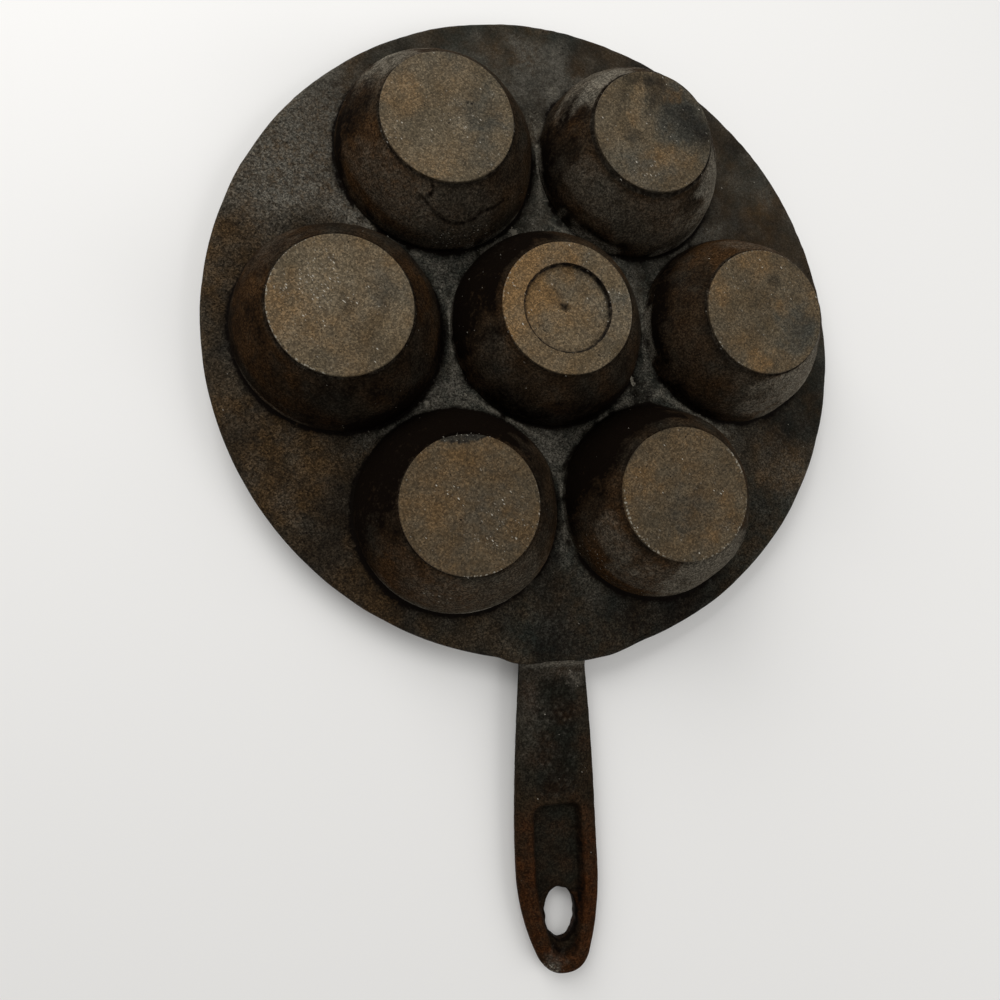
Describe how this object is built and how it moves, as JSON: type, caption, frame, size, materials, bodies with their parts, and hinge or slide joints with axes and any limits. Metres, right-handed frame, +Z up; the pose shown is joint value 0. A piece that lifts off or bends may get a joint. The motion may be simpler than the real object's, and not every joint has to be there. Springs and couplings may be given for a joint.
{
  "type": "aebleskiver pan",
  "caption": "Round cast iron stovetop pan for filled pancake balls: a flat rimmed plate with round cups hanging below it and a tapered handle with a recess and a hanging hole.",
  "frame": {"origin": "on the resting plane, at the centre of the middle cup's foot", "axes": "+Z up, out of the cooking face; -Y along the handle, from the plate to the tip; +X to the right for a person who looks along +Y over the handle"},
  "size_m": [0.22, 0.3215, 0.0349],
  "materials": {
    "plate_iron": "sand cast, seasoned, dull",
    "cup_iron": "sand cast, sooty, feet worn brown-grey",
    "handle_iron": "sand cast, worn smooth, rust brown"
  },
  "bodies": {
    "root": {"griddle_plate": "plate_iron", "cup_middle": "cup_iron", "cup_1": "cup_iron", "cup_2": "cup_iron", "cup_3": "cup_iron", "cup_4": "cup_iron", "cup_5": "cup_iron", "cup_6": "cup_iron", "handle": "handle_iron"}
  },
  "joints": []
}
